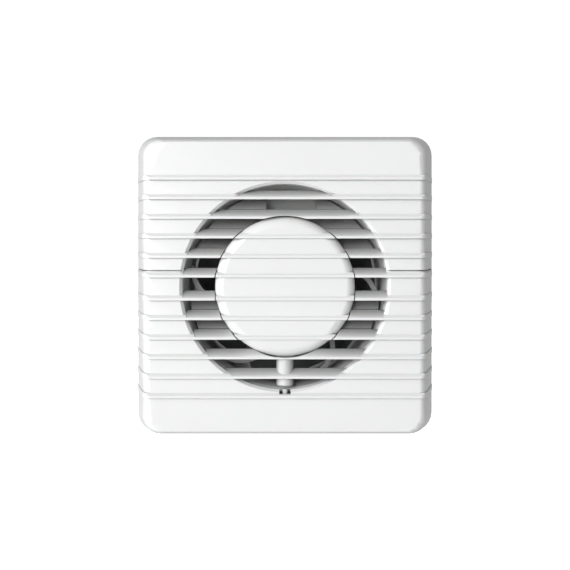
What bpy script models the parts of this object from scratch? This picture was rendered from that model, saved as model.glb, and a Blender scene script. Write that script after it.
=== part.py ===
"""Axial bathroom extractor fan, 150 mm square cover on a 100 mm duct.

Frame: +Z up, front towards -Y, duct towards +Y, the fan's axis on the Y axis.
Metres. Depths are given as the distance behind the cover's foremost edge, and
at(depth) turns a depth into a Y coordinate.
"""

import math

import bmesh
import bpy
from mathutils import Matrix, Vector

# --- driving dimensions, metres ---------------------------------------------
OVERALL_DEPTH = 0.100
WALL_DEPTH = 0.030            # cover depth in front of the wall
COVER_HALF = 0.075            # half of the square cover
SHELL = 0.0022                # moulded wall thickness
GAP = 0.0003                  # clearance between touching pieces
FACE_DEPTH = 0.0013           # panel face behind the ribs' front edges
RIB_COUNT = 12
RIB_INNER = 0.0055            # height of the ribs next to the axis
RIB_PITCH = 0.00935
RIB_DROP = 0.0005             # the ribs sit this much below the axis as a group
RIB_THICK = 0.00115
RIB_SLOPE = 0.0013
OPENING_R = 0.0493
OPENING_CHAMFER = 0.0014
SLAT_DEPTH = 0.0053
SLAT_RISE = 0.00335
SLAT_R = OPENING_R + 0.0012   # the louvres end inside the rim of the opening
WEB_FRONT = 0.0068            # the webs lean back from here
WEB_BACK = 0.0126
WEB_R = 0.0466
CAP_R = 0.0337
CAP_SEAT = 0.0048             # depth of the front of the hub ring behind the cap
HUB_RING_R = 0.0330
GUIDE_R = 0.0014
GUIDE_DEPTH = 0.0051
DUCT_IN_R = 0.0470
DUCT_OUT_R = 0.0493
DUCT_FRONT = 0.0068
PLATE_HALF = 0.0700
PLATE_THICK = 0.0028
PLATE_CORNER = 0.0060
RIM_FRONT = 0.0215            # front edge of the plate's upstanding rim
RIM_THICK = 0.0016
THROUGH = 0.0900              # long enough to cut through any piece
FIXING_PITCH = 0.0590         # wall screw holes from the axis, both ways
FIXING_HOLE_R = 0.0024
CUP_R = 0.0215
CUP_FRONT = 0.0125
CUP_BACK = 0.0245
ARM_FRONT = 0.0145
ARM_BACK = 0.0215
ARM_COUNT = 5                 # the cable arm takes the sixth place
ARM_START = math.radians(133)   # where the first arm leaves the motor cup
ARM_SWEEP = math.radians(-25)
ARM_BEND = 4                  # the arms run straight at first and bend near the duct
ARM_HALF_WIDTH = 0.0012
CABLE_ARM_X = (-0.0090, 0.0153)
MOTOR_R = 0.0180
STACK_FRONT = 0.0195
STACK_LENGTH = 0.0140
SHAFT_R = 0.0020
BLADE_COUNT = 7
BLADE_FRONT = 0.0260
BLADE_DEPTH = 0.0190
CHORD_AT_HUB, CHORD_AT_TIP = 53, 49   # degrees of arc that a blade spans
IMPELLER_R = 0.0460
HUB_R = 0.0260
IMPELLER_BACK = 0.0475
STACK_BACK = STACK_FRONT + STACK_LENGTH
SLOT_COUNT = 6
SLOT_PLACE_R = 0.0125
ROTOR_R = 0.0076
BOLT_PLACE_R = 0.0162
BOLT_ANGLES = (math.radians(30), math.radians(210))
BOLT_HOLE_R = 0.0012
ENTRY_X, ENTRY_Z = 0.0470, 0.0370   # cable entry in the base plate
ENTRY_R = 0.0060
TERMINALS_X = (0.0220, 0.0310, 0.0400)
TERMINAL_Z = 0.0615
LEAD_DEPTH = 0.0190
CLAMP_SCREWS_X = (0.0405, 0.0535)
CLAMP_Z = 0.0495

PARTS = "bathroom_extractor_fan"
HELPERS = "cutters"
WHITE = (0.86, 0.87, 0.87)


def at(depth):
    """Y coordinate of a depth behind the cover's foremost edge."""
    return depth - OVERALL_DEPTH / 2


def clear_scene():
    for obj in list(bpy.data.objects):
        bpy.data.objects.remove(obj, do_unlink=True)
    for name in (PARTS, HELPERS):
        collection = bpy.data.collections.new(name)
        bpy.context.scene.collection.children.link(collection)
    bpy.data.collections[HELPERS].hide_render = True


def material(name, colour, roughness, metallic=0.0):
    mat = bpy.data.materials.new(name)
    mat.use_nodes = True
    shader = mat.node_tree.nodes["Principled BSDF"]
    shader.inputs["Base Color"].default_value = (*colour, 1.0)
    shader.inputs["Roughness"].default_value = roughness
    shader.inputs["Metallic"].default_value = metallic
    return mat


# --- mesh helpers -------------------------------------------------------------
def new_object(name, bm):
    """An object in the helper collection that holds this mesh, faces outward."""
    bmesh.ops.remove_doubles(bm, verts=bm.verts, dist=1e-7)
    bmesh.ops.recalc_face_normals(bm, faces=bm.faces)
    mesh = bpy.data.meshes.new(name)
    bm.to_mesh(mesh)
    bm.free()
    obj = bpy.data.objects.new(name, mesh)
    obj.hide_render = True
    obj.display_type = "WIRE"
    bpy.data.collections[HELPERS].objects.link(obj)
    return obj


def box(name, low, high):
    low, high = Vector(low), Vector(high)
    bm = bmesh.new()
    size = Matrix.Diagonal((*(high - low), 1.0))
    bmesh.ops.create_cube(bm, size=1.0, matrix=Matrix.Translation((low + high) / 2) @ size)
    return new_object(name, bm)


def cylinder(name, start, end, radius, segments=32, end_radius=None):
    """A cylinder or cone between two points."""
    start, end = Vector(start), Vector(end)
    turn = (end - start).to_track_quat("Z", "Y").to_matrix().to_4x4()
    bm = bmesh.new()
    bmesh.ops.create_cone(
        bm,
        cap_ends=True,
        segments=segments,
        radius1=radius,
        radius2=radius if end_radius is None else end_radius,
        depth=(end - start).length,
        matrix=Matrix.Translation((start + end) / 2) @ turn,
    )
    return new_object(name, bm)


def ring_point(radius, angle):
    """X and Z of a point on a circle about the fan's axis."""
    return radius * math.cos(angle), radius * math.sin(angle)


def evaluated_mesh(obj):
    bpy.context.view_layer.update()
    graph = bpy.context.evaluated_depsgraph_get()
    return bpy.data.meshes.new_from_object(obj.evaluated_get(graph), depsgraph=graph)


def settle(obj):
    """Replaces the object's mesh by what its modifiers make of it."""
    mesh = evaluated_mesh(obj)
    obj.modifiers.clear()
    obj.data = mesh
    bm = bmesh.new()
    bm.from_mesh(mesh)
    bmesh.ops.remove_doubles(bm, verts=bm.verts, dist=1e-6)
    bmesh.ops.dissolve_degenerate(bm, edges=bm.edges, dist=5e-7)
    bm.to_mesh(mesh)
    bm.free()
    return obj


def combine(target, other, operation):
    """Boolean of two closed helpers. The second one is used up."""
    modifier = target.modifiers.new(operation.lower(), "BOOLEAN")
    modifier.operation = operation
    modifier.solver = "EXACT"
    modifier.object = other
    settle(target)
    bpy.data.objects.remove(other, do_unlink=True)
    return target


def cut(target, other):
    return combine(target, other, "DIFFERENCE")


def join(target, other):
    return combine(target, other, "UNION")


def drill(target, x, z, radius, segments, front=0.0, back=THROUGH):
    """Cuts a round hole along the fan's axis, right through unless depths are given."""
    return cut(target, cylinder("hole", (x, at(front), z), (x, at(back), z), radius, segments))


def turned(name, profile, segments=48):
    """A ring turned about the Y axis. The profile is a closed loop of (radius, depth)."""
    bm = bmesh.new()
    points = [bm.verts.new((radius, at(depth), 0.0)) for radius, depth in profile]
    for here, there in zip(points, points[1:] + points[:1]):
        bm.edges.new((here, there))
    mesh = bpy.data.meshes.new(name)
    bm.to_mesh(mesh)
    bm.free()
    obj = bpy.data.objects.new(name, mesh)
    bpy.data.collections[HELPERS].objects.link(obj)
    obj.hide_render = True
    obj.display_type = "WIRE"
    screw = obj.modifiers.new("turn", "SCREW")
    screw.axis = "Y"
    screw.steps = segments
    screw.render_steps = segments
    screw.use_merge_vertices = True
    screw.merge_threshold = 0.00001
    settle(obj)
    bm = bmesh.new()
    bm.from_mesh(obj.data)
    bmesh.ops.recalc_face_normals(bm, faces=bm.faces)
    bm.to_mesh(obj.data)
    bm.free()
    return obj


def tube(name, inner, outer, front, back, segments=48):
    profile = [(inner, front), (outer, front), (outer, back), (inner, back)]
    return turned(name, profile, segments)


def lofted(name, rings):
    """A closed solid through rings that have the same number of points."""
    bm = bmesh.new()
    loops = [[bm.verts.new(point) for point in ring] for ring in rings]
    for first, second in zip(loops, loops[1:]):
        for i in range(len(first)):
            j = (i + 1) % len(first)
            bm.faces.new((first[i], first[j], second[j], second[i]))
    bm.faces.new(loops[0])
    bm.faces.new(loops[-1])
    return new_object(name, bm)


def rounded_ring(half_x, half_z, radius, depth, arc=7):
    """Points of a rounded rectangle, square to the fan's axis."""
    points = []
    for quarter, (sx, sz) in enumerate(((1, 1), (-1, 1), (-1, -1), (1, -1))):
        for step in range(arc):
            angle = math.pi / 2 * (quarter + step / (arc - 1))
            x = sx * (half_x - radius) + radius * math.cos(angle)
            z = sz * (half_z - radius) + radius * math.sin(angle)
            points.append((x, at(depth), z))
    return points


def prism(name, outline, low_x, high_x):
    """A bar along X with an outline of (depth, z) points."""
    rings = [[(x, at(depth), z) for depth, z in outline] for x in (low_x, high_x)]
    return lofted(name, rings)


def rod(name, points, radius):
    """A wire through the points, as a curve made into a closed mesh."""
    curve = bpy.data.curves.new(name, "CURVE")
    curve.dimensions = "3D"
    curve.bevel_depth = radius
    curve.bevel_resolution = 2
    curve.use_fill_caps = True
    spline = curve.splines.new("POLY")
    spline.points.add(len(points) - 1)
    for point, place in zip(spline.points, points):
        point.co = (*place, 1.0)
    guide = bpy.data.objects.new(name + "_guide", curve)
    bpy.data.collections[HELPERS].objects.link(guide)
    mesh = evaluated_mesh(guide)
    bpy.data.objects.remove(guide, do_unlink=True)
    bm = bmesh.new()
    bm.from_mesh(mesh)
    bmesh.ops.remove_doubles(bm, verts=bm.verts, dist=1e-6)
    return new_object(name, bm)


def finish(obj, mat, sharp_angle=35):
    """Moves a finished piece into the parts collection, with its material."""
    bpy.data.collections[HELPERS].objects.unlink(obj)
    bpy.data.collections[PARTS].objects.link(obj)
    obj.hide_render = False
    obj.display_type = "TEXTURED"
    obj.data.materials.clear()
    obj.data.materials.append(mat)
    obj.data.shade_smooth()
    obj.data.set_sharp_from_angle(angle=math.radians(sharp_angle))
    return obj


# --- front grille ---------------------------------------------------------------
def rib_height(index):
    """Height of a rib above the axis. Index 0 is the top one."""
    half = RIB_COUNT // 2
    if index < half:
        return RIB_INNER + RIB_PITCH * (half - 1 - index) - RIB_DROP
    return -RIB_INNER - RIB_PITCH * (index - half) - RIB_DROP


def cover_sections(grow_side, grow_front, inset=0.0, limit=COVER_HALF):
    """Rounded sections of the cover, from its rim at the wall to its face."""
    shape = (
        (WALL_DEPTH, 0.0750, 0.0750, 0.0095),
        (0.0260, 0.0742, 0.0746, 0.0095),
        (0.0150, 0.0712, 0.0730, 0.0090),
        (0.0090, 0.0696, 0.0720, 0.0087),
        (0.0055, 0.0685, 0.0713, 0.0083),
        (0.0035, 0.0675, 0.0707, 0.0080),
        (0.0020, 0.0662, 0.0701, 0.0077),
        (FACE_DEPTH, 0.0645, 0.0694, 0.0072),
    )
    rings = []
    for depth, half_x, half_z, radius in shape:
        share = max(0.0, 1.0 - (depth - FACE_DEPTH) / (WALL_DEPTH - FACE_DEPTH))
        wide = min(limit, half_x + grow_side) - inset
        tall = min(limit, half_z + grow_side) - inset
        back = 0.0005 if inset and depth == WALL_DEPTH else 0.0
        shift = (inset - grow_front) * share
        rings.append(rounded_ring(wide, tall, radius - inset / 2, depth + shift + back))
    return rings


def rib_slab(index):
    """The band of space that one rib takes up, from front to wall."""
    low = rib_height(index) - RIB_THICK / 2
    high = low + RIB_THICK
    top = high + RIB_SLOPE
    outline = [(-0.001, low), (-0.001, high), (0.0, high), (FACE_DEPTH, top), (0.028, top), (0.028, low)]
    return prism("rib_slab", outline, -0.08, 0.08)


def mouth(radius=OPENING_R):
    return cylinder("mouth", (0, at(-0.01), 0), (0, at(0.02), 0), radius, 72)


def cover_shell():
    """The cover: a thin shell with a chamfered round opening and ribs that wrap round it."""
    shell = lofted("front_grille", cover_sections(0.0, 0.0))
    front_r = OPENING_R + OPENING_CHAMFER
    lip_front, lip_back = FACE_DEPTH - 0.0018, FACE_DEPTH + OPENING_CHAMFER
    start, end = (0, at(lip_front), 0), (0, at(lip_back), 0)
    cut(shell, cylinder("lip", start, end, front_r + 0.0018, 72, OPENING_R - 0.00001))
    for index in range(RIB_COUNT):
        rib = lofted("rib_body", cover_sections(0.0003, FACE_DEPTH))
        combine(rib, rib_slab(index), "INTERSECT")
        join(shell, rib)
    cut(shell, lofted("hollow", cover_sections(0.0, 0.0, SHELL)))
    return cut(shell, mouth(OPENING_R + 0.00002))


def slat(index):
    """A louvre that rises towards the back, across the opening."""
    low = rib_height(index) - RIB_THICK / 2
    outline = [
        (0.0, low),
        (0.0, low + RIB_THICK),
        (SLAT_DEPTH, low + RIB_THICK + SLAT_RISE),
        (SLAT_DEPTH + 0.0007, low + SLAT_RISE + 0.0002),
    ]
    reach = cylinder("slat_reach", (0, at(-0.001), 0), (0, at(0.01), 0), SLAT_R, 72)
    return combine(prism("slat", outline, -SLAT_R, SLAT_R), reach, "INTERSECT")


def web(index, short):
    """A plate that leans back from a slat's rear edge and closes the gap above it."""
    low = rib_height(index) + SLAT_RISE - 0.0007
    high = rib_height(index - 1) + SLAT_RISE - short
    outline = [
        (SLAT_DEPTH - 0.0007, low),
        (SLAT_DEPTH - 0.0005, low + 0.0011),
        (WEB_FRONT, low + 0.0017),
        (WEB_BACK, high),
        (WEB_BACK + 0.0012, high),
        (WEB_FRONT + 0.0012, low + 0.0003),
    ]
    plate = prism("web", outline, -OPENING_R, OPENING_R)
    reach = cylinder("web_reach", (0, at(0.0), 0), (0, at(0.02), 0), WEB_R, 72)
    combine(plate, reach, "INTERSECT")
    return drill(plate, 0, 0, HUB_RING_R - 0.0011, 64)


def hub_ring():
    """The ring behind the cap, closed at the back, that carries the slats."""
    return turned(
        "hub_ring",
        [
            (0.0020, CAP_SEAT + 0.0042),
            (HUB_RING_R - 0.0016, CAP_SEAT + 0.0042),
            (HUB_RING_R - 0.0016, CAP_SEAT),
            (HUB_RING_R, CAP_SEAT),
            (HUB_RING_R, CAP_SEAT + 0.0056),
            (0.0020, CAP_SEAT + 0.0056),
        ],
        64,
    )


def stem():
    """The half-round bar from the hub ring down to the notch, with a domed end."""
    radius, depth, back, steps = 0.00415, 0.0054, 0.0009, 24
    top, bottom = -HUB_RING_R + 0.0012, -0.0472
    stations = [(top, 1.0), (bottom, 1.0)]
    for angle in (25, 50, 72):
        turn = math.radians(angle)
        stations.append((bottom - 0.0014 * math.sin(turn), math.cos(turn)))
    rings = []
    for z, share in stations:
        ring = []
        for k in range(steps):
            turn = 2 * math.pi * (k + 0.5) / steps
            y = radius * share * math.sin(turn)
            if y > 0:
                y *= back / radius
            ring.append((radius * share * math.cos(turn), at(depth) + y, z))
        rings.append(ring)
    return lofted("stem", rings)


def seam_groove():
    """The fine line round the cover where its upper half ends."""
    height = rib_height(5) + 0.0024
    ring = lofted("seam", cover_sections(0.002, 0.002, limit=0.08))
    cut(ring, lofted("seam_core", cover_sections(-0.0010, -0.0010)))
    slab = box("seam_slab", (-0.08, at(-0.002), height), (0.08, at(0.0275), height + 0.0006))
    return combine(ring, slab, "INTERSECT")


def build_front_grille(mat):
    grille = cover_shell()
    cut(grille, seam_groove())
    lattice = hub_ring()
    join(lattice, stem())
    for index in range(1, RIB_COUNT - 1):
        join(lattice, slat(index))
    top_web = web(2, 0.0006)
    left, right = CABLE_ARM_X
    join(lattice, cut(top_web, box("cable_view", (left, at(SLAT_DEPTH + 0.0009), 0.02), (right, at(0.02), 0.06))))
    for index, short in ((3, 0.0006), (4, 0.0030), (7, 0.0006), (8, 0.0006)):
        join(lattice, web(index, short))
    drill(lattice, 0, 0, CAP_R + GAP, 72, -0.01, CAP_SEAT + 0.0002)
    drill(lattice, 0, 0, HUB_RING_R - 0.0015, 64, -0.01, CAP_SEAT + 0.0040)
    join(grille, lattice)
    notch_low, notch_high = -OPENING_R - 0.0022, -OPENING_R + 0.0018
    cut(grille, box("notch", (-0.0027, at(-0.001), notch_low), (0.0027, at(0.0040), notch_high)))
    socket = box("socket", (-0.0026, at(0.0030), notch_low - 0.0045), (0.0026, at(0.0078), notch_low - 0.0006))
    foot, head = (0, at(GUIDE_DEPTH), notch_low - 0.0035), (0, at(GUIDE_DEPTH), notch_low + 0.001)
    join(grille, cut(socket, cylinder("bore", foot, head, GUIDE_R + GAP, 20)))
    for side in (-1, 1):
        low, high = sorted((side * 0.0693, side * 0.0721))
        join(grille, box("hook", (low, at(0.0200), -0.006), (high, at(0.0255), 0.006)))
    return finish(grille, mat)


# --- centre cap -------------------------------------------------------------------
def build_centre_cap(mat):
    """The bevelled disc over the hub, with fine ribs that carry on the slats' lines."""
    face = 0.0008
    cap = turned(
        "centre_cap",
        [
            (0.00001, face),
            (CAP_R - 0.0042, face),
            (CAP_R - 0.0022, face + 0.0007),
            (CAP_R - 0.0006, face + 0.0021),
            (CAP_R, CAP_SEAT - GAP),
            (HUB_RING_R - 0.0020, CAP_SEAT - GAP),
            (HUB_RING_R - 0.0020, CAP_SEAT + 0.0030),
            (HUB_RING_R - 0.0034, CAP_SEAT + 0.0030),
            (HUB_RING_R - 0.0034, CAP_SEAT - 0.0016),
            (0.00001, CAP_SEAT - 0.0016),
        ],
        72,
    )
    for index in range(3, 9):
        height = rib_height(index)
        low, high = height - RIB_THICK / 2, height + RIB_THICK / 2
        foot = CAP_SEAT - 0.0009
        outline = [(0.0, low), (0.0, high), (FACE_DEPTH, high + RIB_SLOPE), (foot, high + RIB_SLOPE), (foot, low)]
        rib = prism("cap_rib", outline, -CAP_R, CAP_R)
        reach = cylinder("cap_reach", (0, at(-0.001), 0), (0, at(0.01), 0), CAP_R - 0.0002, 72)
        join(cap, combine(rib, reach, "INTERSECT"))
    return finish(cap, mat)


def build_light_guide(mat):
    """The small clear peg that shows in the notch under the stem."""
    low, high = -OPENING_R - 0.0052, -OPENING_R - 0.0002
    peg = cylinder("light_guide", (0, at(GUIDE_DEPTH), low), (0, at(GUIDE_DEPTH), high), GUIDE_R, 20)
    return finish(peg, mat)


# --- casing with the duct spigot ----------------------------------------------------
def arm_point(start, sweep, share):
    """A point on a swept arm's centre line, 0 at the motor cup and 1 at the duct."""
    radius = CUP_R - 0.0010 + (DUCT_IN_R + 0.0012 - CUP_R) * share
    turn = start + sweep * abs(share) ** ARM_BEND
    return Vector((radius * math.cos(turn), 0.0, radius * math.sin(turn)))


def swept_arm(name, start, sweep, half_width):
    """A curved arm from the motor cup to the duct, built from straight sections."""
    rings = []
    steps = 10
    for step in range(steps + 1):
        share = step / steps
        centre = arm_point(start, sweep, share)
        along = (arm_point(start, sweep, share + 0.02) - centre).normalized()
        across = Vector((-along.z, 0.0, along.x)) * half_width
        ring = []
        for side, depth in ((-1, ARM_FRONT), (1, ARM_FRONT), (1, ARM_BACK), (-1, ARM_BACK)):
            point = centre + across * side
            ring.append((point.x, at(depth), point.z))
        rings.append(ring)
    return lofted(name, rings)


def rounded_slab(name, half, corner, front, back):
    return lofted(name, [rounded_ring(half, half, corner, depth) for depth in (front, back)])


def base_plate():
    """The square plate on the wall, with its rim and four screw bosses."""
    plate = rounded_slab("casing", PLATE_HALF, PLATE_CORNER, WALL_DEPTH - PLATE_THICK, WALL_DEPTH)
    for x in (-FIXING_PITCH, FIXING_PITCH):
        for z in (-FIXING_PITCH, FIXING_PITCH):
            boss = cylinder("boss", (x, at(0.0240), z), (x, at(WALL_DEPTH - 0.001), z), 0.0050, 16)
            join(plate, boss)
            drill(plate, x, z, FIXING_HOLE_R, 16)
    rim = rounded_slab("rim", PLATE_HALF, PLATE_CORNER, RIM_FRONT, WALL_DEPTH - 0.001)
    core = rounded_slab("rim_core", PLATE_HALF - RIM_THICK, PLATE_CORNER - RIM_THICK, 0.020, 0.032)
    return join(plate, cut(rim, core))


def duct_tube():
    """The spigot, with a bell mouth at the front and a fine taper at its end."""
    return turned(
        "duct",
        [
            (DUCT_IN_R, OVERALL_DEPTH),
            (DUCT_IN_R, DUCT_FRONT + 0.0060),
            (DUCT_IN_R + 0.0008, DUCT_FRONT + 0.0025),
            (DUCT_IN_R + 0.0026, DUCT_FRONT),
            (DUCT_OUT_R + 0.0018, DUCT_FRONT),
            (DUCT_OUT_R, DUCT_FRONT + 0.0050),
            (DUCT_OUT_R, OVERALL_DEPTH - 0.0050),
            (DUCT_OUT_R - 0.0010, OVERALL_DEPTH),
        ],
        60,
    )


def motor_cup():
    """The cup that holds the motor, closed at the front but for the shaft's bracket."""
    return turned(
        "motor_cup",
        [
            (0.0115, CUP_FRONT),
            (CUP_R, CUP_FRONT),
            (CUP_R, CUP_BACK),
            (CUP_R - 0.0016, CUP_BACK),
            (CUP_R - 0.0016, CUP_FRONT + 0.0018),
            (0.0115, CUP_FRONT + 0.0018),
        ],
        36,
    )


def cable_arm():
    """The wide arm, a channel open at the back that carries the leads to the duct wall."""
    left, right = CABLE_ARM_X
    arm = box("cable_arm", (left, at(ARM_FRONT), CUP_R - 0.0012), (right, at(ARM_BACK + 0.0015), 0.060))
    channel = box(
        "channel",
        (left + RIM_THICK, at(ARM_FRONT + 0.0014), CUP_R + 0.0010),
        (right - RIM_THICK, at(ARM_BACK + 0.003), 0.062),
    )
    return cut(arm, channel)


def build_spokes():
    """The motor cup on its swept arms and the cable arm, trimmed to the duct."""
    spokes = motor_cup()
    for angle in BOLT_ANGLES:
        drill(spokes, *ring_point(BOLT_PLACE_R, angle), BOLT_HOLE_R, 12)
    for number in range(ARM_COUNT):
        start = ARM_START + math.radians(60) * number
        join(spokes, swept_arm("arm", start, ARM_SWEEP, ARM_HALF_WIDTH))
    join(spokes, cable_arm())
    middle = (DUCT_IN_R + DUCT_OUT_R) / 2
    return combine(spokes, cylinder("trim", (0, at(0.0), 0), (0, at(0.06), 0), middle, 60), "INTERSECT")


def build_casing(mat):
    casing = base_plate()
    drill(casing, 0, 0, DUCT_OUT_R - 0.0008, 60)
    join(casing, duct_tube())
    join(casing, build_spokes())
    cut(casing, box("lead_slot", (0.0010, at(0.0150), 0.0150), (0.0080, at(LEAD_DEPTH), CUP_R + 0.0020)))
    cut(casing, box("wall_slot", (0.0010, at(0.0150), DUCT_IN_R - 0.003), (0.0080, at(LEAD_DEPTH), 0.056)))
    drill(casing, ENTRY_X, ENTRY_Z, ENTRY_R, 24)
    for x in CLAMP_SCREWS_X:
        join(casing, cylinder("post", (x, at(0.0215), CLAMP_Z), (x, at(0.0290), CLAMP_Z), 0.0022, 12))
        drill(casing, x, CLAMP_Z, 0.0012, 12, 0.0200, 0.0280)
    for side in (-1, 1):
        low, high = sorted((side * 0.0660, side * 0.0740))
        cut(casing, box("window", (low, at(0.0190), -0.0080), (high, at(0.0262), 0.0080)))
    return finish(casing, mat)


# --- motor ---------------------------------------------------------------------------
def build_stator_stack(mat):
    """The laminated ring, with round slots for the winding."""
    stack = tube("stator_stack", ROTOR_R + 0.0004, MOTOR_R, STACK_FRONT, STACK_BACK, 32)
    for index in range(SLOT_COUNT):
        drill(stack, *ring_point(SLOT_PLACE_R, 2 * math.pi * index / SLOT_COUNT), 0.0024, 12)
    for angle in BOLT_ANGLES:
        drill(stack, *ring_point(BOLT_PLACE_R, angle), BOLT_HOLE_R, 12)
    return finish(stack, mat)


def build_winding(mat):
    """Both end turns and the bundles that run through the slots."""
    winding = tube("winding", 0.0098, 0.0140, STACK_FRONT - 0.0030, STACK_FRONT - GAP, 24)
    join(winding, tube("end_turn", 0.0098, 0.0140, STACK_BACK + GAP, STACK_BACK + 0.0030, 24))
    for index in range(SLOT_COUNT):
        x, z = ring_point(SLOT_PLACE_R, 2 * math.pi * index / SLOT_COUNT)
        start, end = (x, at(STACK_FRONT - 0.0010), z), (x, at(STACK_BACK + 0.0010), z)
        join(winding, cylinder("bundle", start, end, 0.0018, 8))
    return finish(winding, mat)


def build_bracket(name, mat, front, back, toward):
    """An end bracket: a bar across the stack with a round seat for the bearing."""
    bracket = tube(name, 0.0045, 0.0075, front, back, 24)
    turn = Matrix.Rotation(-BOLT_ANGLES[0], 4, "Y")
    bar_front = front + 0.0001 if toward < 0 else back - 0.0016
    bar = box("bar", (-0.0185, at(bar_front), -0.0034), (0.0185, at(bar_front + 0.0015), 0.0034))
    bar.data.transform(turn)
    drill(bar, 0, 0, 0.0060, 24)
    join(bracket, bar)
    for angle in BOLT_ANGLES:
        drill(bracket, *ring_point(BOLT_PLACE_R, angle), BOLT_HOLE_R, 12)
    return finish(bracket, mat)


def build_bearing(name, mat, front, back):
    """A sintered bush with a bulged waist, a running fit on the shaft."""
    middle = (front + back) / 2
    profile = [(SHAFT_R + 0.00003, front), (0.0034, front), (0.0042, middle), (0.0034, back)]
    profile.append((SHAFT_R + 0.00003, back))
    return finish(turned(name, profile, 24), mat)


def build_motor_bolt(name, mat, angle, front, back):
    """A through bolt with its countersunk head in front of the motor cup."""
    x, z = ring_point(BOLT_PLACE_R, angle)
    bolt = cylinder(name, (x, at(front - 0.0006), z), (x, at(back + 0.0024), z), 0.0009, 12)
    head = cylinder("head", (x, at(front - 0.0016), z), (x, at(front - GAP), z), 0.0012, 16, 0.0018)
    return finish(join(bolt, head), mat)


def build_motor_nut(name, mat, angle, back):
    x, z = ring_point(BOLT_PLACE_R, angle)
    nut = cylinder(name, (x, at(back + GAP), z), (x, at(back + 0.0018), z), 0.0021, 6)
    return finish(drill(nut, x, z, BOLT_HOLE_R, 12), mat)


def build_rotor(mat):
    rotor = tube("rotor", SHAFT_R + GAP, ROTOR_R, STACK_FRONT, STACK_BACK, 28)
    return finish(rotor, mat)


def build_shaft(mat, front, back):
    shaft = turned(
        "motor_shaft",
        [
            (0.00001, front),
            (SHAFT_R - 0.0003, front),
            (SHAFT_R, front + 0.0004),
            (SHAFT_R, back - 0.0004),
            (SHAFT_R - 0.0003, back),
            (0.00001, back),
        ],
        20,
    )
    return finish(shaft, mat)


# --- impeller --------------------------------------------------------------------------
def blade(index):
    """One swept and twisted blade, thickest near the hub."""
    spans, chords = 5, 4
    bm = bmesh.new()
    grid = []
    for k in range(spans + 1):
        share = k / spans
        radius = HUB_R - 0.0012 + (IMPELLER_R - HUB_R + 0.0012) * share
        chord_angle = math.radians(CHORD_AT_HUB + (CHORD_AT_TIP - CHORD_AT_HUB) * share)
        sweep = math.radians(16) * share**1.5
        depth = BLADE_DEPTH * (0.98 - 0.22 * share)
        row = []
        for m in range(chords + 1):
            t = m / chords
            bow = 0.0018 * math.sin(math.pi * t)
            angle = 2 * math.pi * index / BLADE_COUNT + sweep + chord_angle * (t - 0.5)
            y = at(BLADE_FRONT + 0.0016 * share + depth * t + bow)
            row.append(bm.verts.new((radius * math.cos(angle), y, radius * math.sin(angle))))
        grid.append(row)
    for lower, upper in zip(grid, grid[1:]):
        for m in range(chords):
            bm.faces.new((lower[m], lower[m + 1], upper[m + 1], upper[m]))
    obj = new_object("blade", bm)
    thicken = obj.modifiers.new("thickness", "SOLIDIFY")
    thicken.thickness = 0.0014
    thicken.offset = 0.0
    return settle(obj)


def build_impeller(mat, back):
    """The hub cup, open to the motor in front, with its boss and blades."""
    impeller = turned(
        "impeller",
        [
            (SHAFT_R + GAP, back - 0.0085),
            (0.0045, back - 0.0085),
            (0.0045, back - 0.0018),
            (HUB_R - 0.0018, back - 0.0018),
            (HUB_R - 0.0018, BLADE_FRONT - 0.0006),
            (HUB_R, BLADE_FRONT - 0.0006),
            (HUB_R, back - 0.0022),
            (HUB_R - 0.0022, back),
            (SHAFT_R + GAP, back),
        ],
        42,
    )
    for index in range(BLADE_COUNT):
        join(impeller, blade(index))
    return finish(impeller, mat, 40)


def build_impeller_nut(mat, back):
    """The push-on nut that holds the impeller on the shaft."""
    nut = cylinder("impeller_nut", (0, at(back + GAP), 0), (0, at(back + 0.0030), 0), 0.0042, 6)
    return finish(drill(nut, 0, 0, SHAFT_R + GAP, 24), mat)


# --- terminals and cable ------------------------------------------------------------------
def build_terminal_block(mat):
    """A three-way block on the base plate, with screw wells in front and lead holes below."""
    low = (TERMINALS_X[0] - 0.0055, at(0.0140), TERMINAL_Z - 0.0055)
    high = (TERMINALS_X[2] + 0.0055, at(WALL_DEPTH - PLATE_THICK - GAP), TERMINAL_Z + 0.0050)
    block = box("terminal_block", low, high)
    for x in TERMINALS_X:
        drill(block, x, TERMINAL_Z, 0.0024, 16, 0.0130, 0.0205)
        start, end = (x, at(LEAD_DEPTH), TERMINAL_Z - 0.007), (x, at(LEAD_DEPTH), TERMINAL_Z - 0.0010)
        cut(block, cylinder("lead_hole", start, end, 0.0013, 12))
    for x in (TERMINALS_X[0] + 0.0045, TERMINALS_X[1] + 0.0045):
        cut(block, box("groove", (x - 0.0006, at(0.0130), TERMINAL_Z - 0.008), (x + 0.0006, at(0.0155), 0.07)))
    return finish(block, mat)


def build_slotted_screw(name, mat, place, head_r, head_depth, shank_r, shank_depth):
    """A slotted cheese-head screw that points towards the wall."""
    x, front, z = place
    neck = front + head_depth
    screw = cylinder(name, (x, at(front), z), (x, at(neck), z), head_r, 16)
    join(screw, cylinder("shank", (x, at(neck - 0.0003), z), (x, at(neck + shank_depth), z), shank_r, 10))
    slot = box("slot", (x - 0.006, at(front - 0.001), z - 0.00035), (x + 0.006, at(front + 0.0006), z + 0.00035))
    return finish(cut(screw, slot), mat)


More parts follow.
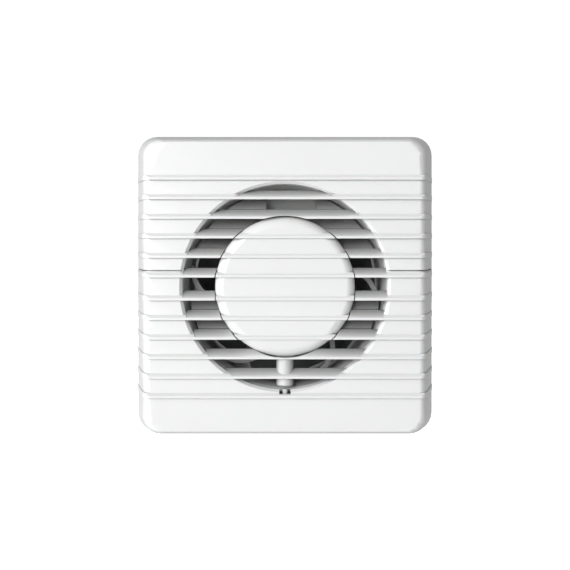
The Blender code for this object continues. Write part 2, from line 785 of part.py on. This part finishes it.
def build_cable_clamp(mat):
    """The strap that grips the supply cable."""
    low = (CLAMP_SCREWS_X[0] - 0.0030, at(0.0190), CLAMP_Z - 0.0028)
    high = (CLAMP_SCREWS_X[1] + 0.0030, at(0.0215 - GAP), CLAMP_Z + 0.0028)
    clamp = box("cable_clamp", low, high)
    for x in CLAMP_SCREWS_X:
        drill(clamp, x, CLAMP_Z, 0.0013, 16)
    arch_start = (ENTRY_X, at(0.0232), CLAMP_Z - 0.006)
    arch_end = (ENTRY_X, at(0.0232), CLAMP_Z + 0.006)
    return finish(cut(clamp, cylinder("arch", arch_start, arch_end, 0.0032, 24)), mat)


def build_cable_grommet(mat):
    plate_front = WALL_DEPTH - PLATE_THICK
    grommet = turned(
        "cable_grommet",
        [
            (0.0030, plate_front - 0.0016),
            (0.0076, plate_front - 0.0016),
            (0.0076, plate_front - GAP),
            (ENTRY_R - GAP, plate_front - GAP),
            (ENTRY_R - GAP, WALL_DEPTH - 0.0002),
            (0.0030, WALL_DEPTH - 0.0002),
        ],
        24,
    )
    grommet.data.transform(Matrix.Translation((ENTRY_X, 0, ENTRY_Z)))
    return finish(grommet, mat)


def build_lead_wire(name, mat, x, terminal_x, run_z):
    """A lead from the winding along the cable arm to its terminal."""
    motor_depth = 0.0170
    points = [
        (x, at(motor_depth), 0.0160),
        (x, at(motor_depth), run_z - 0.0012),
        (x + 0.0004, at(motor_depth + 0.0002), run_z - 0.0004),
        (x + 0.0012, at(motor_depth + 0.0004), run_z),
        (terminal_x - 0.0012, at(LEAD_DEPTH), run_z),
        (terminal_x - 0.0004, at(LEAD_DEPTH), run_z + 0.0004),
        (terminal_x, at(LEAD_DEPTH), run_z + 0.0012),
        (terminal_x, at(LEAD_DEPTH), TERMINAL_Z - 0.0035),
    ]
    return finish(rod(name, points, 0.00065), mat)


# --- assembly ---------------------------------------------------------------------------------
def build_motor(steel, laminations, copper, bronze, washer_mat):
    front_bracket, rear_bracket = 0.0146, STACK_BACK + 0.0033
    build_stator_stack(laminations)
    build_winding(copper)
    build_bracket("front_bracket", steel, front_bracket, front_bracket + 0.0034, -1)
    build_bracket("rear_bracket", steel, rear_bracket - 0.0018, rear_bracket + 0.0016, 1)
    build_bearing("front_bearing", bronze, front_bracket + 0.0002, front_bracket + 0.0032)
    build_bearing("rear_bearing", bronze, rear_bracket - 0.0016, rear_bracket + 0.0014)
    for number, angle in enumerate(BOLT_ANGLES, 1):
        build_motor_bolt(f"motor_bolt_{number}", steel, angle, CUP_FRONT, rear_bracket + 0.0016)
        build_motor_nut(f"motor_nut_{number}", steel, angle, rear_bracket + 0.0016)
    for name, front in (("front_washer", STACK_FRONT - 0.0013), ("rear_washer", STACK_BACK + 0.0005)):
        finish(tube(name, SHAFT_R + GAP, 0.0036, front, front + 0.0008, 16), washer_mat)


def build_fan():
    clear_scene()
    shell = material("white_abs", WHITE, 0.28)
    inner = material("casing_abs", (0.80, 0.81, 0.80), 0.38)
    clear = material("light_guide_acrylic", (0.78, 0.80, 0.80), 0.12)
    blades = material("impeller_pp", (0.07, 0.07, 0.075), 0.42)
    steel = material("zinc_steel", (0.62, 0.62, 0.60), 0.32, 1.0)
    laminations = material("laminated_steel", (0.20, 0.20, 0.21), 0.5, 1.0)
    copper = material("enamelled_copper", (0.62, 0.25, 0.10), 0.32, 1.0)
    bronze = material("sintered_bronze", (0.52, 0.36, 0.17), 0.45, 1.0)
    nylon = material("terminal_nylon", (0.72, 0.73, 0.70), 0.45)
    rubber = material("grommet_rubber", (0.03, 0.03, 0.03), 0.7)
    brown = material("lead_brown", (0.16, 0.06, 0.03), 0.4)
    blue = material("lead_blue", (0.02, 0.09, 0.35), 0.4)

    build_front_grille(shell)
    build_centre_cap(shell)
    build_light_guide(clear)
    build_casing(inner)
    build_motor(steel, laminations, copper, bronze, nylon)
    build_rotor(laminations)
    build_shaft(steel, 0.0135, IMPELLER_BACK + 0.0060)
    build_impeller(blades, IMPELLER_BACK)
    build_impeller_nut(steel, IMPELLER_BACK)
    build_terminal_block(nylon)
    for number, x in enumerate(TERMINALS_X, 1):
        place = (x, 0.0160, TERMINAL_Z)
        build_slotted_screw(f"terminal_screw_{number}", steel, place, 0.0019, 0.0018, 0.0012, 0.0004)
    build_cable_clamp(nylon)
    for number, x in enumerate(CLAMP_SCREWS_X, 1):
        place = (x, 0.0171, CLAMP_Z)
        build_slotted_screw(f"clamp_screw_{number}", steel, place, 0.0021, 0.0016, 0.0009, 0.0078)
    build_cable_grommet(rubber)
    build_lead_wire("lead_wire_1", brown, 0.0030, TERMINALS_X[0], 0.0540)
    build_lead_wire("lead_wire_2", blue, 0.0060, TERMINALS_X[1], 0.0518)


if __name__ == "__main__":
    build_fan()
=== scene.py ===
"""Looks of the bathroom extractor fan: materials, fine pieces, light and camera.

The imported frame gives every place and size. Metres, +Z up, front towards -Y.
"""
import math

import bmesh
import bpy
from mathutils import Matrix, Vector


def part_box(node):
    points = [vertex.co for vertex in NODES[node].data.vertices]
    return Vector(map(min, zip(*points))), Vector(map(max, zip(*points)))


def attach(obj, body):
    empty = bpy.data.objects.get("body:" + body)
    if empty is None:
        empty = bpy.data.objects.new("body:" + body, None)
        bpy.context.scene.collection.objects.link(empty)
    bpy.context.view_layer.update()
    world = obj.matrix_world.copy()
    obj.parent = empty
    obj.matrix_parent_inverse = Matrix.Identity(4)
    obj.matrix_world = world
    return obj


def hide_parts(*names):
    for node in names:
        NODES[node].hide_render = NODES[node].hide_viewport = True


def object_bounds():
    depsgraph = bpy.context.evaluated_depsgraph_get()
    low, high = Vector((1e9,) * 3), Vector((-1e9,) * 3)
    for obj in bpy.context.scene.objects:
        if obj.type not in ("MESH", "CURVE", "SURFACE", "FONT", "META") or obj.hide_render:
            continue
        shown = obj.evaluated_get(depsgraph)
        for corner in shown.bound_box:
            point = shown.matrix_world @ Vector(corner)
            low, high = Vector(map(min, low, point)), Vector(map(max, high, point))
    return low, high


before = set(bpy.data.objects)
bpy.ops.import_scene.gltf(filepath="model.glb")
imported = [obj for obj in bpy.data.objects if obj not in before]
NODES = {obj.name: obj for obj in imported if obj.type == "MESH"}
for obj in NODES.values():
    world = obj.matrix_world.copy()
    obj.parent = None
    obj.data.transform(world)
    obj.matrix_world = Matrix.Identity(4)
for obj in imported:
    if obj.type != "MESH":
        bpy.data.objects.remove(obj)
CAD_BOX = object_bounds()
FRONT_Y = CAD_BOX[0][1]

# --- looks, in metres and linear colour ---
CAMERA_DISTANCE = 0.425       # from the cover's front to the lens
CAMERA_HEIGHT = 0.0235        # above the fan's axis
LENS_MM = 56.2
SENSOR_MM = 36.0
SHIFT_UP = -0.0830            # places the fan in the picture without tilting the camera
EDGE_SOFTNESS = 0.00035       # radius that the moulded edges catch the light with
SHARP_ANGLE = math.radians(32)
WELD_DISTANCE = 0.000002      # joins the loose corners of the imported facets
FLOOR_DROP = 0.155            # floor below the fan's lowest edge
AMBIENT = 0.38                # light from all round, on the object
BACKDROP = 1.05               # brightness of the plain surround itself
LIT_POINT = (0, FRONT_Y, 0)
KEY_PLACE = (-1.575, FRONT_Y - 2.925, 0.78)
KEY_SIZE = 1.65
KEY_WATTS = 76.0
SIDE_PLACE = (-3.00, FRONT_Y - 1.125, 0.45)
SIDE_SIZE = 1.5
SIDE_WATTS = 63.5
FLOOR_HALF = 3.0
FLOOR_GLOW = 0.85             # lifts the floor to a pale, nearly white tone
WHITE_ABS = (0.700, 0.705, 0.705)
CASING_ABS = (0.620, 0.630, 0.625)
NYLON_WHITE = (0.66, 0.67, 0.63)
IMPELLER_GREY = (0.150, 0.152, 0.158)
# painted shade: darkening in corners and recesses, and a grey painted shade deepening inside the
# opening
CREVICE_REACH = 0.010
CREVICE_SHADE_TINT = (0.30, 0.30, 0.295)
AIR_PATH_R = 0.0494
AIR_PATH_BLUR = 0.0006
OPENING_SHADE_START = 0.0006           # depths of the painted shade behind the cover's front
OPENING_SHADE_FULL = 0.0105
OPENING_SHADE_THINS, OPENING_SHADE_END = 0.0300, 0.0700
OPENING_SHADE_CURVE = 0.55             # below 1, so that most of it comes soon behind the front
OPENING_SHADE_TINT = (0.22, 0.22, 0.215)
# the motor's coils, in the room that the CAD winding takes up
COIL_IN, COIL_OUT = 0.0098, 0.0140
COIL_WIRE = 0.00042           # radius, as for the other wires and the cord
COIL_STEPS = 36
COIL_SPARE = 0.0003           # room left free at the end of each row
COIL_WAVER, COIL_SWAY = 0.00010, 0.00008
LAYER_PHASE, ROW_PHASE = 2.4, 1.7
SLOT_COUNT = 6
SLOT_PLACE_R = 0.0125
SLOT_BUNDLE_R = 0.0012
SLOT_WIRE = 0.00055
CORD_COUNT = 12
CORD_R = 0.00022
CORD_SKEW = 0.05
CORD_INSET = 0.0001


# --- node helpers ---
class Graph:
    """A material's node tree with short calls to add and link nodes."""

    def __init__(self, name):
        self.material = bpy.data.materials.new(name)
        self.material.use_nodes = True
        self.tree = self.material.node_tree
        self.shader = self.tree.nodes["Principled BSDF"]
        self.place = self.add("ShaderNodeTexCoord").outputs["Object"]

    def add(self, kind, **values):
        node = self.tree.nodes.new(kind)
        for key, value in values.items():
            if hasattr(node, key):
                setattr(node, key, value)
            else:
                node.inputs[key.replace("_", " ")].default_value = value
        return node

    def link(self, start, end):
        self.tree.links.new(start, end)

    def noise(self, scale, detail=4.0, roughness=0.5, stretch=None):
        """Cloudy pattern fixed to the piece; a larger scale gives finer clouds."""
        node = self.add("ShaderNodeTexNoise", Scale=scale, Detail=detail, Roughness=roughness)
        place = self.place
        if stretch:
            mapping = self.add("ShaderNodeMapping")
            mapping.inputs["Scale"].default_value = stretch
            self.link(place, mapping.inputs["Vector"])
            place = mapping.outputs["Vector"]
        self.link(place, node.inputs["Vector"])
        return node.outputs["Fac"]

    def remap(self, value, low, high, from_low=0.3, from_high=0.7):
        """Stretches from_low..from_high to low..high and cuts off what lies beyond."""
        node = self.add("ShaderNodeMapRange")
        node.inputs["From Min"].default_value = from_low
        node.inputs["From Max"].default_value = from_high
        node.inputs["To Min"].default_value = low
        node.inputs["To Max"].default_value = high
        self.link(value, node.inputs["Value"])
        return node.outputs["Result"]

    def mix(self, share, first, second):
        """First colour where share is 0, second where it is 1."""
        node = self.add("ShaderNodeMix", data_type="RGBA", blend_type="MIX")
        for socket, value in ((node.inputs["A"], first), (node.inputs["B"], second)):
            self.feed(value, node_socket(node, socket))
        self.feed(share, node.inputs[0])
        return node.outputs[2]

    def feed(self, value, socket):
        """Links a socket, or sets a number or a colour."""
        if isinstance(value, (int, float)):
            socket.default_value = value
        elif isinstance(value, tuple):
            socket.default_value = (*value, 1.0) if len(value) == 3 else value
        else:
            self.link(value, socket)

    def edges(self, radius=EDGE_SOFTNESS):
        """Share of a sharp edge at each point, 0 on flats, and the softened normal."""
        bevel = self.add("ShaderNodeBevel", samples=6)
        bevel.inputs["Radius"].default_value = radius
        geometry = self.add("ShaderNodeNewGeometry")
        dot = self.add("ShaderNodeVectorMath", operation="DOT_PRODUCT")
        self.link(bevel.outputs["Normal"], dot.inputs[0])
        self.link(geometry.outputs["Normal"], dot.inputs[1])
        return self.remap(dot.outputs["Value"], 1.0, 0.0, 0.80, 0.99), bevel.outputs["Normal"]

    def rub(self, worn, most, base, colour):
        """Lightens worn edges towards a colour, by the given share at most."""
        return self.mix(self.remap(worn, 0.0, most, 0.0, 1.0), base, colour)

    def bump(self, height, strength, distance, normal=None):
        node = self.add("ShaderNodeBump")
        node.inputs["Strength"].default_value = strength
        node.inputs["Distance"].default_value = distance
        self.link(height, node.inputs["Height"])
        if normal is not None:
            self.link(normal, node.inputs["Normal"])
        return node.outputs["Normal"]

    def opening_shade_depth(self):
        """How far a point lies inside the air path, as the share of the painted shade: 0 at the
        front and outside it, 1 deep down.
        """
        parts = self.add("ShaderNodeSeparateXYZ")
        self.link(self.place, parts.inputs["Vector"])
        depth = self.remap(parts.outputs["Y"], 0.0, 1.0, FRONT_Y + OPENING_SHADE_START, FRONT_Y + OPENING_SHADE_FULL)
        fade = self.remap(parts.outputs["Y"], 1.0, 0.0, FRONT_Y + OPENING_SHADE_THINS, FRONT_Y + OPENING_SHADE_END)
        flat = self.add("ShaderNodeVectorMath", operation="MULTIPLY")
        self.link(self.place, flat.inputs[0])
        flat.inputs[1].default_value = (1.0, 0.0, 1.0)
        radius = self.add("ShaderNodeVectorMath", operation="LENGTH")
        self.link(flat.outputs["Vector"], radius.inputs[0])
        reach = AIR_PATH_R - AIR_PATH_BLUR
        inside = self.remap(radius.outputs["Value"], 1.0, 0.0, reach, AIR_PATH_R)
        eased = self.add("ShaderNodeMath", operation="POWER")
        self.link(depth, eased.inputs[0])
        eased.inputs[1].default_value = OPENING_SHADE_CURVE
        share = eased.outputs["Value"]
        for factor in (inside, fade):
            product = self.add("ShaderNodeMath", operation="MULTIPLY")
            self.link(share, product.inputs[0])
            self.link(factor, product.inputs[1])
            share = product.outputs["Value"]
        return share

    def crevices(self, distance):
        """1 in the open, less where the piece's own surfaces close in within a distance."""
        node = self.add("ShaderNodeAmbientOcclusion", samples=6, only_local=True)
        node.inputs["Distance"].default_value = distance
        return node.outputs["AO"]

    def set(self, **values):
        """Sets inputs of the surface by name, with _ for a space."""
        for key, value in values.items():
            self.feed(value, self.shader.inputs[key.replace("_", " ")])


def node_socket(node, socket):
    """The colour socket of a Mix node that has the same name as this one."""
    return next(s for s in node.inputs if s.name == socket.name and s.type == "RGBA")


def scaled(colour, *factors):
    """A colour made lighter or darker by one factor, or by one for each channel."""
    if len(factors) == 1:
        factors *= 3
    return tuple(min(1.0, c * k) for c, k in zip(colour, factors))


# --- materials ---
def moulded_plastic(name, colour, gloss, texture, corner_shade, coat=0.0, opening_shade_strength=0.0):
    """Injection moulded plastic: faint flow marks, orange peel, rubbed edges, painted shade in
    corners and recesses, and a painted shade deepening inside the opening where asked.
    """
    g = Graph(name)
    worn, soft_normal = g.edges()
    flow = g.noise(14.0, 3.0, 0.45, (1.0, 1.0, 2.6))
    base = g.mix(g.remap(flow, 0.0, 1.0), scaled(colour, 0.996), scaled(colour, 1.004))
    # painted shade: darker colour where the piece's own surfaces close in, in corners and recesses
    corner_shade_share = g.remap(g.crevices(CREVICE_REACH), corner_shade, 0.0, 0.20, 0.70)
    base = g.mix(corner_shade_share, base, scaled(colour, *CREVICE_SHADE_TINT))
    # painted shade: grey darkening that deepens behind the front inside the opening
    if opening_shade_strength:
        overlay_share = g.remap(g.opening_shade_depth(), 0.0, opening_shade_strength, 0.0, 1.0)
        base = g.mix(overlay_share, base, scaled(colour, *OPENING_SHADE_TINT))
    base = g.rub(worn, 0.25, base, scaled(colour, 1.06))
    specks = g.noise(2400.0, 2.0)
    peel = g.noise(320.0, 3.0, 0.55)
    rough = g.remap(g.noise(60.0, 5.0), gloss * 0.99, gloss * 1.01)
    normal = g.bump(peel, texture, 0.00006, soft_normal)
    normal = g.bump(specks, texture * 0.6, 0.00002, normal)
    g.set(Base_Color=base, Roughness=rough, Normal=normal, IOR=1.53, Coat_Weight=coat)
    g.set(Subsurface_Weight=0.06, Subsurface_Scale=0.0015, Coat_Roughness=0.12)
    return g.material


def impeller_plastic():
    """Dark polypropylene with a fine spark texture and a film of dust."""
    g = Graph("impeller_plastic")
    worn, soft_normal = g.edges(0.0004)
    overlay_share = g.remap(g.noise(90.0, 6.0, 0.65), 0.0, 0.28, 0.42, 0.75)
    base = g.mix(overlay_share, IMPELLER_GREY, (0.21, 0.207, 0.20))
    base = g.rub(worn, 0.35, base, (0.27, 0.27, 0.27))
    normal = g.bump(g.noise(1500.0, 3.0), 0.35, 0.00004, soft_normal)
    g.set(Base_Color=base, Roughness=g.remap(g.noise(140.0), 0.42, 0.58), Normal=normal)
    return g.material


def plated_steel():
    """Zinc plate with soft clouds of brightness and polished edges."""
    g = Graph("zinc_plated_steel")
    worn, soft_normal = g.edges(0.0002)
    clouds = g.noise(700.0, 5.0, 0.6)
    base = g.mix(g.remap(clouds, 0.0, 1.0), (0.50, 0.50, 0.47), (0.68, 0.68, 0.66))
    base = g.rub(worn, 0.5, base, (0.80, 0.80, 0.79))
    normal = g.bump(g.noise(2600.0, 4.0), 0.25, 0.00003, soft_normal)
    g.set(Base_Color=base, Metallic=1.0, Roughness=g.remap(clouds, 0.24, 0.40), Normal=normal)
    return g.material


def bands(g, scale, axis, distortion):
    """Even bands across an axis, bent a little by the distortion."""
    node = g.add("ShaderNodeTexWave", wave_type="BANDS", bands_direction=axis, Scale=scale)
    node.inputs["Distortion"].default_value = distortion
    node.inputs["Detail"].default_value = 2.0
    g.link(g.place, node.inputs["Vector"])
    return node.outputs["Fac"]


def laminated_steel():
    """Stacked sheets 0.5 mm thick, blued, with a dark line between them."""
    g = Graph("laminated_steel")
    worn, soft_normal = g.edges(0.0002)
    sheets = bands(g, 620.0, "Y", 0.1)
    base = g.mix(g.remap(sheets, 0.0, 1.0, 0.1, 0.6), (0.05, 0.05, 0.055), (0.30, 0.31, 0.34))
    rust = g.remap(g.noise(260.0, 6.0, 0.7), 0.0, 0.45, 0.58, 0.80)
    base = g.mix(rust, base, (0.24, 0.13, 0.07))
    base = g.rub(worn, 0.4, base, (0.45, 0.45, 0.46))
    normal = g.bump(sheets, 0.6, 0.00008, soft_normal)
    rough = g.remap(g.noise(500.0), 0.38, 0.6)
    g.set(Base_Color=base, Metallic=0.85, Roughness=rough, Normal=normal)
    return g.material


def enamelled_copper():
    """Varnished magnet wire: deep red brown where the varnish pools, with painted shade darkening
    the gaps between the wires.
    """
    g = Graph("enamelled_copper")
    pools = g.remap(g.noise(420.0, 5.0, 0.6), 0.0, 1.0)
    # painted shade: darker colour in the gaps between the wires
    wire_gap_shade = g.remap(g.crevices(0.0012), 1.0, 0.0, 0.3, 0.9)
    base = g.mix(pools, (0.52, 0.19, 0.065), (0.36, 0.11, 0.035))
    base = g.mix(wire_gap_shade, base, (0.10, 0.025, 0.010))
    rough = g.remap(pools, 0.20, 0.36, 0.0, 1.0)
    g.set(Base_Color=base, Metallic=0.75, Roughness=rough, Coat_Weight=0.5)
    g.set(Normal=g.bump(g.noise(1600.0), 0.2, 0.00003))
    return g.material


def sintered_bronze():
    """Oil-filled bronze with fine dark pores."""
    g = Graph("sintered_bronze")
    _, soft_normal = g.edges(0.0002)
    pores = g.noise(4200.0, 3.0, 0.6)
    base = g.mix(g.remap(pores, 0.0, 1.0), (0.22, 0.13, 0.05), (0.55, 0.38, 0.18))
    normal = g.bump(pores, 0.5, 0.00003, soft_normal)
    g.set(Base_Color=base, Metallic=1.0, Roughness=0.42, Normal=normal)
    return g.material


def clear_acrylic():
    """The light guide: a milky, slightly see-through rod."""
    g = Graph("clear_acrylic")
    g.set(Base_Color=(0.84, 0.86, 0.86), IOR=1.49, Transmission_Weight=0.15)
    haze = g.noise(900.0, 4.0)
    g.set(Roughness=g.remap(haze, 0.06, 0.22))
    g.set(Normal=g.bump(haze, 0.15, 0.00003))
    return g.material


def grommet_rubber():
    """Black rubber with a faint pale bloom."""
    g = Graph("grommet_rubber")
    _, soft_normal = g.edges(0.0003)
    bloom = g.remap(g.noise(320.0, 6.0, 0.7), 0.0, 0.5, 0.5, 0.8)
    base = g.mix(bloom, (0.018, 0.018, 0.019), (0.060, 0.058, 0.055))
    g.set(Base_Color=base, Roughness=g.remap(g.noise(700.0), 0.60, 0.80))
    g.set(Normal=g.bump(g.noise(1900.0), 0.4, 0.00005, soft_normal))
    return g.material


def cable_sheath(name, colour):
    """Coloured insulation with lighter scuffs."""
    g = Graph(name)
    scuffs = g.noise(520.0, 5.0, 0.6)
    lighter = tuple(min(1.0, c * 1.7 + 0.01) for c in colour)
    g.set(Base_Color=g.mix(g.remap(scuffs, 0.0, 0.6), colour, lighter))
    g.set(Roughness=g.remap(scuffs, 0.30, 0.48), Normal=g.bump(scuffs, 0.2, 0.00004))
    return g.material


def smooth_facets(obj):
    """Shades the facets of round faces as one surface, and keeps real edges sharp."""
    flat_normals = obj.data.attributes.get("custom_normal")
    if flat_normals:
        obj.data.attributes.remove(flat_normals)
    obj.data.shade_smooth()
    weld = obj.modifiers.new("weld", "WELD")
    weld.merge_threshold = WELD_DISTANCE
    split = obj.modifiers.new("real_edges", "EDGE_SPLIT")
    split.split_angle = SHARP_ANGLE
    flats = obj.modifiers.new("flats_stay_flat", "WEIGHTED_NORMAL")
    flats.mode = "FACE_AREA"
    flats.weight = 100


def dress_nodes():
    """Gives every CAD node its material and smooth shading on its round faces."""
    copper = enamelled_copper()
    glossy = {"gloss": 0.27, "texture": 0.06, "corner_shade": 1.0, "coat": 0.30}
    cover = moulded_plastic("cover_abs", WHITE_ABS, **glossy, opening_shade_strength=0.95)
    cap = moulded_plastic("cap_abs", WHITE_ABS, **glossy)
    casing = moulded_plastic("casing_abs", CASING_ABS, 0.40, 0.30, corner_shade=1.0, opening_shade_strength=0.65)
    nylon = moulded_plastic("white_nylon", NYLON_WHITE, 0.46, 0.45, corner_shade=0.6)
    steel = plated_steel()
    laminated = laminated_steel()
    bronze = sintered_bronze()
    looks = {
        "front_grille": cover,
        "centre_cap": cap,
        "casing": casing,
        "light_guide": clear_acrylic(),
        "impeller": impeller_plastic(),
        "stator_stack": laminated,
        "rotor": laminated,
        "winding": copper,
        "front_bearing": bronze,
        "rear_bearing": bronze,
        "front_washer": nylon,
        "rear_washer": nylon,
        "terminal_block": nylon,
        "cable_clamp": nylon,
        "cable_grommet": grommet_rubber(),
        "lead_wire_1": cable_sheath("lead_brown", (0.16, 0.055, 0.025)),
        "lead_wire_2": cable_sheath("lead_blue", (0.02, 0.085, 0.36)),
    }
    for name, obj in NODES.items():
        obj.data.materials.clear()
        obj.data.materials.append(looks.get(name, steel))
        smooth_facets(obj)
    wind_coils(copper, nylon)


# --- fine pieces ---
def sweep_tube(bm, points, radius, sides=6, closed=True):
    """Adds a tube along a line of points, or a loop when closed."""
    count = len(points)
    rings = []
    for i, point in enumerate(points):
        ahead = points[(i + 1) % count] if closed or i + 1 < count else point
        behind = points[i - 1] if closed or i else point
        along = (ahead - behind).normalized()
        if abs(along.y) > 0.99:
            across = along.orthogonal()
        else:
            across = along.cross(Vector((0, 1, 0))).normalized()
        lift = along.cross(across)
        ring = []
        for k in range(sides):
            turn = 2 * math.pi * k / sides
            offset = across * math.cos(turn) + lift * math.sin(turn)
            ring.append(bm.verts.new(point + offset * radius))
        rings.append(ring)
    last = count if closed else count - 1
    for i in range(last):
        first, second = rings[i], rings[(i + 1) % count]
        for k in range(sides):
            j = (k + 1) % sides
            bm.faces.new((first[k], first[j], second[j], second[k]))
    if not closed:
        bm.faces.new(rings[0])
        bm.faces.new(rings[-1])


def on_circle(radius, turn, y):
    """A point round the fan's axis."""
    return Vector((radius * math.cos(turn), y, radius * math.sin(turn)))


def new_piece(name, bm, material, body):
    """Makes a piece of a finished mesh and lets it ride on a body."""
    bmesh.ops.recalc_face_normals(bm, faces=bm.faces)
    mesh = bpy.data.meshes.new(name)
    bm.to_mesh(mesh)
    bm.free()
    mesh.materials.append(material)
    mesh.shade_smooth()
    piece = bpy.data.objects.new(name, mesh)
    bpy.context.scene.collection.objects.link(piece)
    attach(piece, body)
    return piece


def end_turns():
    """Front and back room of the coils, between the winding's ends and the steel stack."""
    (_, coil_front, _), (_, coil_back, _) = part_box("winding")
    (_, stack_front, _), (_, stack_back, _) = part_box("stator_stack")
    return (coil_front, stack_front), (stack_back, coil_back)


def wire_turn(low, layer, row):
    """One slightly wavy turn of wire in an end turn that starts at low."""
    phase = LAYER_PHASE * layer + ROW_PHASE * row
    points = []
    for step in range(COIL_STEPS):
        turn = 2 * math.pi * step / COIL_STEPS
        radius = COIL_IN + COIL_WIRE * (2 * layer + 1) + COIL_WAVER * math.sin(3 * turn + phase)
        y = low + COIL_WIRE * (2 * row + 1.2) + COIL_SWAY * math.sin(5 * turn + 2 * phase)
        points.append(on_circle(radius, turn, y))
    return points


def fill_slots(bm, front, back):
    """Straight bundles of seven wires through the stack's slots, from end turn to end turn."""
    for slot in range(SLOT_COUNT):
        centre = on_circle(SLOT_PLACE_R, 2 * math.pi * slot / SLOT_COUNT, 0.0)
        ring = [on_circle(SLOT_BUNDLE_R, math.pi * k / 3, 0.0) for k in range(6)]
        for place in [centre] + [centre + offset for offset in ring]:
            ends = [place + Vector((0, y, 0)) for y in (front - COIL_WIRE, back + COIL_WIRE)]
            sweep_tube(bm, ends, SLOT_WIRE, 8, closed=False)


def wind_coils(copper, cord):
    """Turns of magnet wire in place of the plain winding, laced with cord."""
    wires, cords = bmesh.new(), bmesh.new()
    layers = int((COIL_OUT - COIL_IN) / (2 * COIL_WIRE))
    for low, high in end_turns():
        rows = int((high - low - COIL_SPARE) / (2 * COIL_WIRE))
        for layer in range(layers):
            for row in range(rows):
                sweep_tube(wires, wire_turn(low, layer, row), COIL_WIRE)
        lace_coil(cords, low, high)
    front, back = end_turns()
    fill_slots(wires, front[1], back[0])
    coils = new_piece("coil_wires", wires, copper, "base")
    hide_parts("winding")
    new_piece("coil_lacing", cords, cord, "base")


def lace_coil(bm, low, high):
    """Loops of cord round one end turn."""
    for number in range(CORD_COUNT):
        turn = 2 * math.pi * (number + 0.5) / CORD_COUNT
        near, far = low + CORD_INSET, high - CORD_INSET
        corners = (
            (COIL_IN - CORD_R, near, 0.0),
            (COIL_OUT + CORD_R, near, CORD_SKEW / 2),
            (COIL_OUT + CORD_R, far, CORD_SKEW),
            (COIL_IN - CORD_R, far, CORD_SKEW / 2),
        )
        loop = [on_circle(radius, turn + shift, y) for radius, y, shift in corners]
        sweep_tube(bm, loop, CORD_R)


# --- stage ---
def soft_light(name, place, size, watts):
    """A square soft box aimed at the middle of the fan's front."""
    data = bpy.data.lights.new(name, "AREA")
    data.shape = "RECTANGLE"
    data.size = data.size_y = size
    data.energy = watts
    lamp = bpy.data.objects.new(name, data)
    lamp.location = place
    aim = Vector(LIT_POINT) - Vector(place)
    lamp.rotation_euler = aim.to_track_quat("-Z", "Y").to_euler()
    bpy.context.scene.collection.objects.link(lamp)


def build_floor():
    """A plain pale floor below the fan."""
    bm = bmesh.new()
    bmesh.ops.create_grid(bm, x_segments=2, y_segments=2, size=FLOOR_HALF)
    mesh = bpy.data.meshes.new("floor")
    bm.to_mesh(mesh)
    bm.free()
    floor = bpy.data.objects.new("floor", mesh)
    floor.location = (0, 0, CAD_BOX[0][2] - FLOOR_DROP)
    bpy.context.scene.collection.objects.link(floor)
    g = Graph("floor_pale")
    g.set(Base_Color=(0.92, 0.92, 0.92), Roughness=g.remap(g.noise(6.0), 0.75, 0.85))
    seen = g.add("ShaderNodeLightPath").outputs["Is Camera Ray"]
    glow = g.remap(seen, 0.0, FLOOR_GLOW, 0.0, 1.0)
    g.set(Emission_Color=(1.0, 1.0, 1.0), Emission_Strength=glow)
    floor.data.materials.append(g.material)


def build_surround():
    """A bright surround for the camera that lights the fan less than it shows."""
    world = bpy.data.worlds.new("surround")
    bpy.context.scene.world = world
    world.use_nodes = True
    tree = world.node_tree
    background = tree.nodes["Background"]
    background.inputs["Color"].default_value = (1, 1, 1, 1)
    path = tree.nodes.new("ShaderNodeLightPath")
    level = tree.nodes.new("ShaderNodeMapRange")
    level.inputs["To Min"].default_value = AMBIENT
    level.inputs["To Max"].default_value = BACKDROP
    tree.links.new(path.outputs["Is Camera Ray"], level.inputs["Value"])
    tree.links.new(level.outputs["Result"], background.inputs["Strength"])


def build_stage():
    """Floor, surround and soft light from the front left."""
    build_floor()
    build_surround()
    soft_light("key", KEY_PLACE, KEY_SIZE, KEY_WATTS)
    soft_light("side", SIDE_PLACE, SIDE_SIZE, SIDE_WATTS)
    bpy.context.scene.view_settings.view_transform = "Standard"


def build_camera():
    """The view straight at the front, from a little above the axis."""
    data = bpy.data.cameras.new("camera")
    data.lens = LENS_MM
    data.sensor_width = SENSOR_MM
    data.shift_y = SHIFT_UP
    data.clip_start = 0.01
    camera = bpy.data.objects.new("camera", data)
    camera.location = (0.0, FRONT_Y - CAMERA_DISTANCE, CAMERA_HEIGHT)
    camera.rotation_euler = (math.radians(90), 0, 0)
    bpy.context.scene.collection.objects.link(camera)
    bpy.context.scene.camera = camera


dress_nodes()
build_stage()
build_camera()
